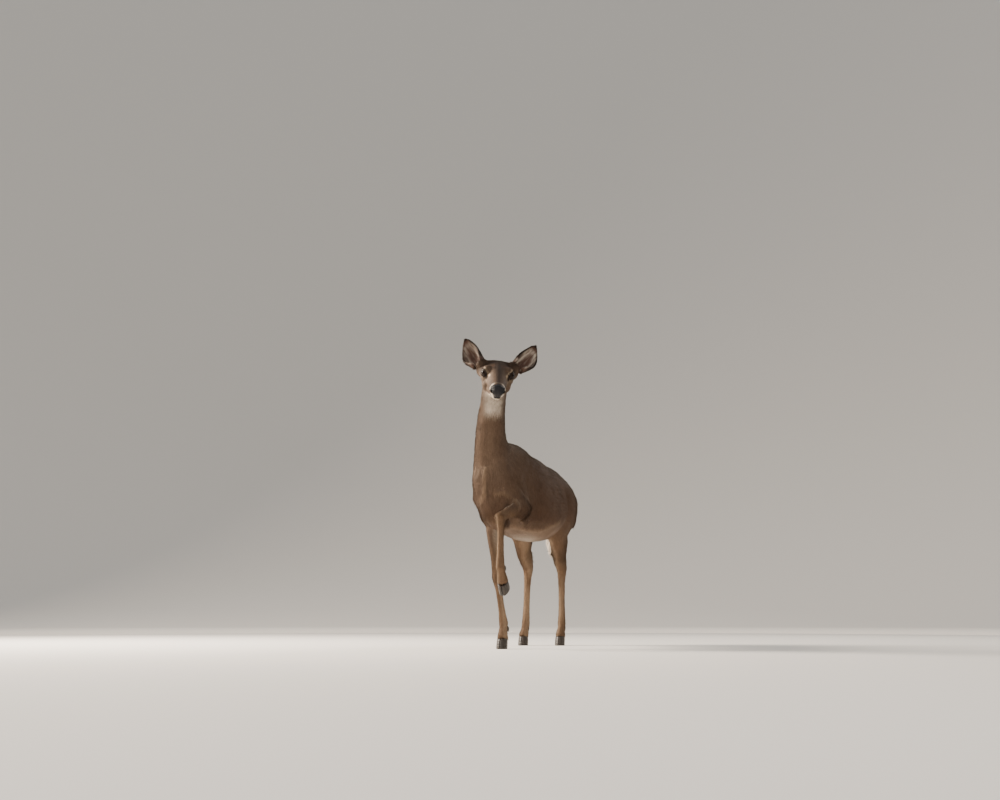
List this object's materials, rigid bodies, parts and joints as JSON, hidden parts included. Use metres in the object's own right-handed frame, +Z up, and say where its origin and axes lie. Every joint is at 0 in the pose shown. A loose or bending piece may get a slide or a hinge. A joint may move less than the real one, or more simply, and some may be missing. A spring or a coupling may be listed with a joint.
{
  "type": "white-tailed deer",
  "caption": "Life-size white-tailed doe in winter coat, standing alert with its left foreleg lifted and its face turned to the front.",
  "frame": {"origin": "on the floor, under the middle of the bounding box", "axes": "+Z up; the doe's body faces -Y, and +X is its left side"},
  "size_m": [0.341, 1.176, 1.2502],
  "materials": {
    "coat": "grey-brown winter hair, matt",
    "pale_coat": "pale brown to white hair, matt",
    "eye": "wet dark brown",
    "horn": "black horn, satin"
  },
  "bodies": {
    "root": {"head": "coat", "neck": "coat", "trunk": "coat", "tail": "pale_coat", "ear_left": "coat", "ear_right": "coat", "eye_left": "eye", "eye_right": "eye", "forearm_left": "coat", "cannon_fore_left": "coat", "pastern_fore_left": "pale_coat", "thigh_left": "coat", "cannon_hind_left": "coat", "pastern_hind_left": "pale_coat", "forearm_right": "coat", "cannon_fore_right": "coat", "pastern_fore_right": "pale_coat", "thigh_right": "coat", "cannon_hind_right": "coat", "pastern_hind_right": "pale_coat", "hoof_fore_left_inner": "horn", "dewclaw_fore_left_inner": "horn", "hoof_fore_left_outer": "horn", "dewclaw_fore_left_outer": "horn", "hoof_fore_right_inner": "horn", "dewclaw_fore_right_inner": "horn", "hoof_fore_right_outer": "horn", "dewclaw_fore_right_outer": "horn", "hoof_hind_left_inner": "horn", "dewclaw_hind_left_inner": "horn", "hoof_hind_left_outer": "horn", "dewclaw_hind_left_outer": "horn", "hoof_hind_right_inner": "horn", "dewclaw_hind_right_inner": "horn", "hoof_hind_right_outer": "horn", "dewclaw_hind_right_outer": "horn"}
  },
  "joints": []
}
